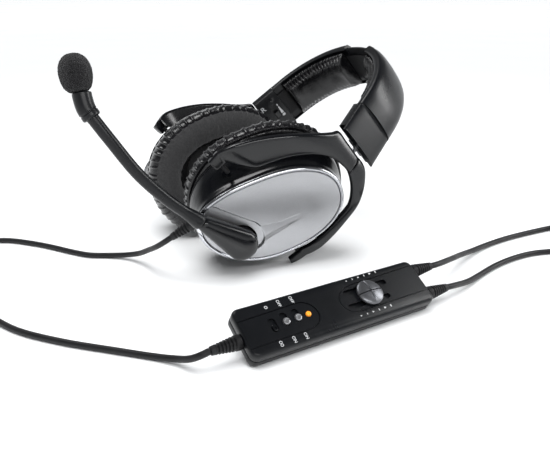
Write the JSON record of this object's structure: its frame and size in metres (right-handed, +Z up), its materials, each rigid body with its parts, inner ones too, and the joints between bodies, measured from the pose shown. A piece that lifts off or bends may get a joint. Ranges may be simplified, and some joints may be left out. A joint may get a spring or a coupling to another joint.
{
  "type": "aviation headset",
  "caption": "Circumaural headset on a padded sprung headband, with tilting and swivelling cups, a boom microphone and an in-line control box with sliding volume controls.",
  "frame": {"origin": "on the floor, at the middle of the headset's bounding box", "axes": "+Z up, +X to the right and +Y away from a viewer in front of the scene; the headset lies as it is put down, with its control box in front"},
  "size_m": [0.5526, 0.3032, 0.1558],
  "materials": {
    "satin": "satin black moulded plastic",
    "gloss": "gloss black moulded plastic",
    "matte": "matte black moulded plastic",
    "leather": "black leatherette over foam",
    "foam": "black open-cell foam",
    "silver": "satin silver paint",
    "chrome": "polished",
    "steel": "brushed steel",
    "rubber": "soft black rubber",
    "amber": "clear amber lens"
  },
  "bodies": {
    "left_cup": {"baffle_left": "matte", "cover_plate_left": "silver", "cup_shell_left": "satin", "ear_cushion_left": "leather", "hinge_pin_front_left": "steel", "hinge_pin_rear_left": "steel", "speaker_left": "steel", "trim_ring_left": "chrome", "box_clip": "steel", "box_lower": "satin", "box_upper": "satin", "coil_back": "rubber", "coil_front": "rubber", "coil_headset": "rubber", "cord_back": "rubber", "cord_front": "rubber", "cord_headset_box": "rubber", "cord_headset_cup": "rubber", "plug_back": "satin", "plug_front": "satin", "power_lens": "amber", "relief_box_back": "rubber", "relief_box_front": "rubber", "relief_box_in": "rubber", "relief_cup": "rubber", "tail_back": "rubber", "tail_front": "rubber"},
    "left_yoke": {"yoke_left": "gloss"},
    "left_slider": {"slider_bar_left": "steel"},
    "headband": {"headband_bridge": "satin", "headband_spring": "steel", "housing_inner_left": "matte", "housing_inner_right": "matte", "housing_outer_left": "satin", "housing_outer_right": "satin", "inner_pad_left": "leather", "inner_pad_right": "leather", "outer_cover_left": "satin", "outer_cover_right": "satin"},
    "right_slider": {"slider_bar_right": "steel"},
    "right_yoke": {"yoke_right": "gloss"},
    "right_cup": {"baffle_right": "matte", "cover_plate_right": "silver", "cup_shell_right": "satin", "ear_cushion_right": "leather", "hinge_pin_front_right": "steel", "hinge_pin_rear_right": "steel", "speaker_right": "steel", "trim_ring_right": "chrome"},
    "boom": {"boom_hub": "gloss", "boom_tube": "satin", "mic_sleeve": "satin", "windscreen": "foam"},
    "pressure_switch_left": {"pressure_switch_left": "gloss"},
    "pressure_switch_right": {"pressure_switch_right": "gloss"},
    "fader_left": {"fader_left": "silver"},
    "fader_right": {"fader_right": "silver"},
    "switch_power": {"switch_power": "silver"},
    "switch_noise": {"switch_noise": "silver"},
    "switch_mode": {"switch_mode": "gloss"}
  },
  "joints": [
    {"name": "left_cup_tilt", "type": "hinge", "parent": "left_cup", "child": "left_yoke", "pos_m": [0.0072, -0.05481, 0.04123], "axis": [-0.572, -0.2655, 0.776], "range_deg": [-10, 3]},
    {"name": "left_swivel", "type": "hinge", "parent": "left_yoke", "child": "left_slider", "pos_m": [0.0673, -0.04081, 0.07962], "axis": [0.5119, 0.6237, 0.5907], "range_deg": [-12, 12]},
    {"name": "left_extension", "type": "slide", "parent": "left_slider", "child": "headband", "axis": [0.5119, 0.6237, 0.5907], "range_m": [0, 0.015]},
    {"name": "right_extension", "type": "slide", "parent": "headband", "child": "right_slider", "axis": [-0.7737, -0.1394, -0.618], "range_m": [0, 0.019]},
    {"name": "right_swivel", "type": "hinge", "parent": "right_slider", "child": "right_yoke", "pos_m": [0.0003, 0.09176, 0.0756], "axis": [0.7737, 0.1394, 0.618], "range_deg": [-5, 18]},
    {"name": "right_cup_tilt", "type": "hinge", "parent": "right_yoke", "child": "right_cup", "pos_m": [-0.04502, 0.04589, 0.04208], "axis": [-0.5974, -0.1644, 0.7849], "range_deg": [-2, 16]},
    {"name": "boom_pivot", "type": "hinge", "parent": "left_cup", "child": "boom", "pos_m": [-0.00973, -0.07033, 0.02626], "axis": [0.275, -0.9535, -0.1236], "range_deg": [-50, 20]},
    {"name": "pressure_slide_left", "type": "slide", "parent": "headband", "child": "pressure_switch_left", "axis": [-0.572, -0.2655, 0.776], "range_m": [0, 0.006]},
    {"name": "pressure_slide_right", "type": "slide", "parent": "headband", "child": "pressure_switch_right", "axis": [-0.572, -0.2655, 0.776], "range_m": [0, 0.006]},
    {"name": "fader_left_slide", "type": "slide", "parent": "left_cup", "child": "fader_left", "axis": [0.8434, 0.5373, 0], "range_m": [-0.014, 0.014]},
    {"name": "fader_right_slide", "type": "slide", "parent": "left_cup", "child": "fader_right", "axis": [0.8434, 0.5373, 0], "range_m": [-0.016, 0.011]},
    {"name": "switch_power_slide", "type": "slide", "parent": "left_cup", "child": "switch_power", "axis": [-0.4557, 0.7152, 0.5299], "range_m": [0, 0.0036]},
    {"name": "switch_noise_slide", "type": "slide", "parent": "left_cup", "child": "switch_noise", "axis": [-0.4557, 0.7152, 0.5299], "range_m": [0, 0.0036]},
    {"name": "switch_mode_slide", "type": "slide", "parent": "left_cup", "child": "switch_mode", "axis": [-0.4557, 0.7152, 0.5299], "range_m": [0, 0.0036]}
  ]
}
